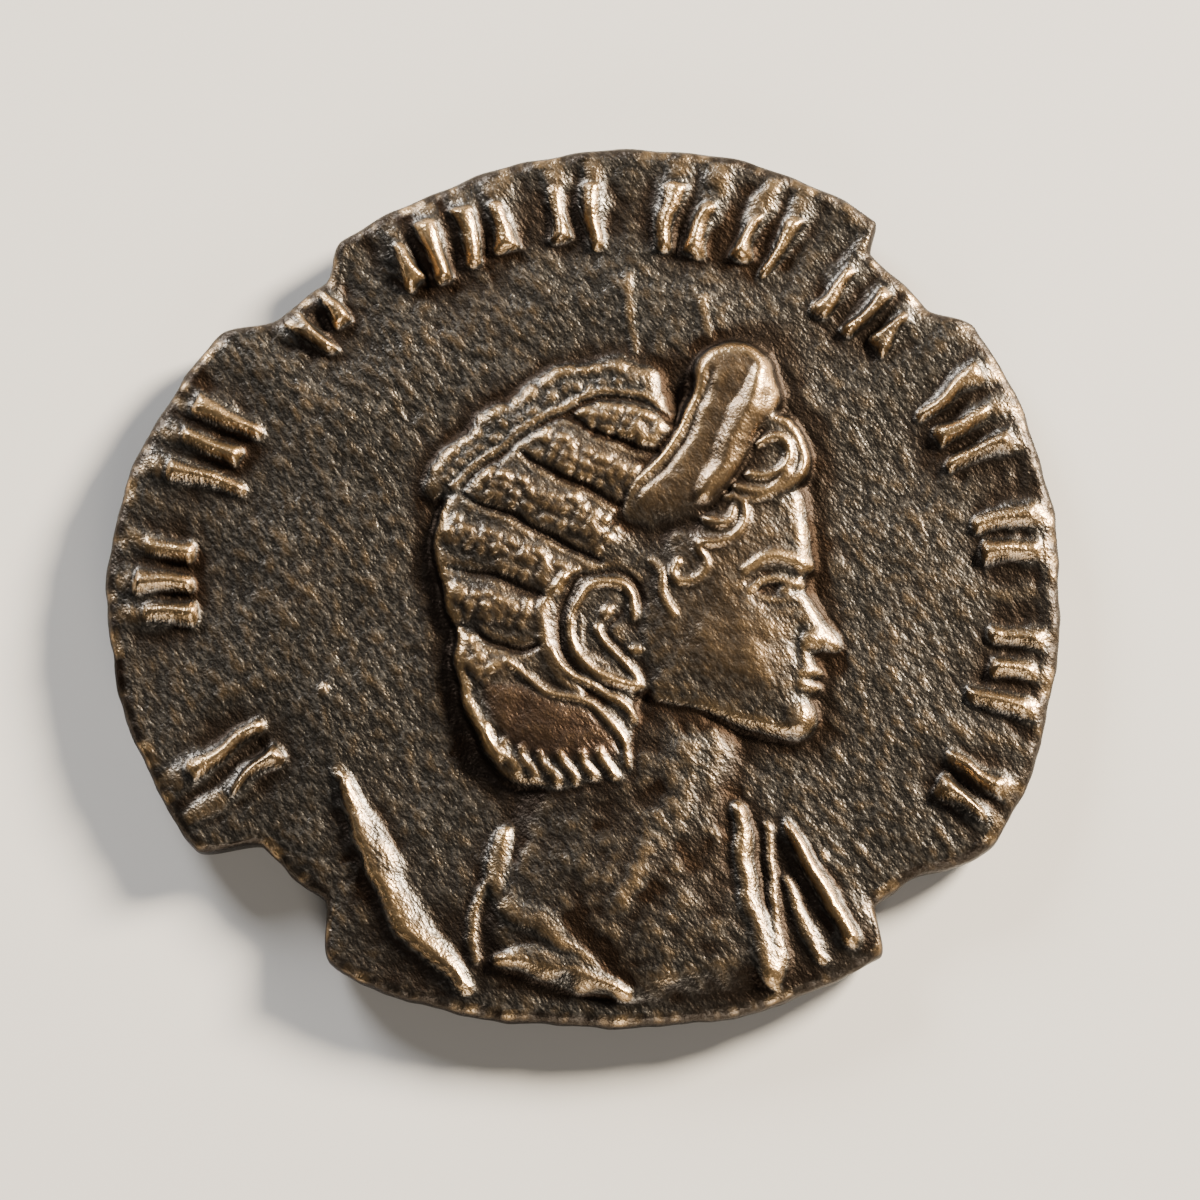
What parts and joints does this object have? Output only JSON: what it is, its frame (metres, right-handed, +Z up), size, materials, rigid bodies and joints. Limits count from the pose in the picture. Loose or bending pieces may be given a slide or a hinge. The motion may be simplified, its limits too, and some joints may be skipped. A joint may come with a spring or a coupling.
{
  "type": "ancient struck coin",
  "caption": "Worn, thin, slightly oval struck coin with chipped edge: a draped bust on a crescent in profile, strokes round the rim, and a robed standing figure on the underside.",
  "frame": {"origin": "on the surface the coin lies on, under the middle of its outline", "axes": "+Z up out of the side with the bust, +Y towards the top of the head, +X the way the bust looks"},
  "size_m": [0.022, 0.0208, 0.002],
  "materials": {
    "billon": "worn silver-bronze alloy with a dark brown patina, brighter on the high relief"
  },
  "bodies": {
    "root": {"coin": "billon"}
  },
  "joints": []
}
